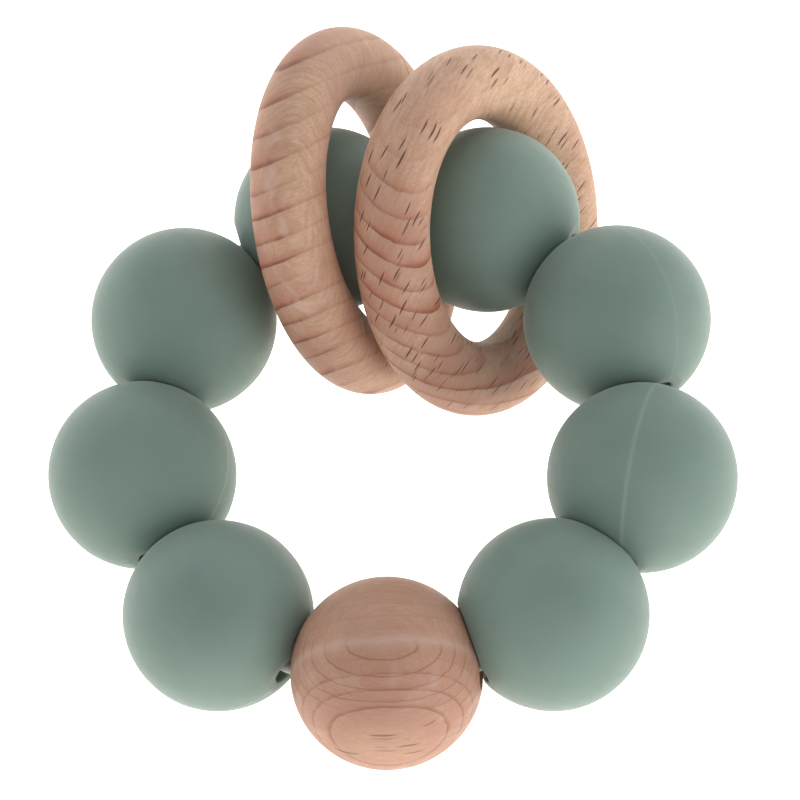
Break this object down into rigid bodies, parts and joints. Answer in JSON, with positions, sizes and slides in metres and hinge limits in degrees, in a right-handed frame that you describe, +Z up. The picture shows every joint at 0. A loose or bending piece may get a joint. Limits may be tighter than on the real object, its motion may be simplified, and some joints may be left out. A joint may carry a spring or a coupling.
{
  "type": "baby rattle",
  "caption": "Teething rattle: a closed loop of soft round beads and a wooden ball on a cord, with loose wooden rings threaded over the strand.",
  "frame": {"origin": "on the table, under the middle of the whole rattle as it lies", "axes": "+Z up off the table, +Y from the wooden ball towards the rings, +X to the right"},
  "size_m": [0.073, 0.0826, 0.0376],
  "materials": {
    "silicone": "matte moulded food grade silicone, sage green",
    "beech": "fine sanded untreated beech, satin",
    "cord": "round braided cord, pale grey"
  },
  "bodies": {
    "strand": {"silicone_bead_1": "silicone", "silicone_bead_2": "silicone", "silicone_bead_3": "silicone", "silicone_bead_4": "silicone", "silicone_bead_5": "silicone", "silicone_bead_6": "silicone", "silicone_bead_7": "silicone", "silicone_bead_8": "silicone", "cord": "cord", "cord_knot": "cord"},
    "ball": {"wooden_ball": "beech"},
    "ring_left": {"wooden_ring_left": "beech"},
    "ring_right": {"wooden_ring_right": "beech"}
  },
  "joints": [
    {"name": "ball_spin", "type": "hinge", "parent": "strand", "child": "ball", "pos_m": [0.00015, -0.03128, 0.01], "axis": [0.9982, -0.0095, 0.0596], "continuous": true},
    {"name": "left_ring_travel", "type": "hinge", "parent": "strand", "child": "ring_left", "pos_m": [0.00015, -0.00461, 0.01425], "axis": [-0.0604, -0.1572, 0.9857], "continuous": true},
    {"name": "right_ring_travel", "type": "hinge", "parent": "ring_left", "child": "ring_right", "pos_m": [0.00015, -0.00461, 0.01425], "axis": [-0.0604, -0.1572, 0.9857], "range_deg": [-256, 4.5]}
  ]
}
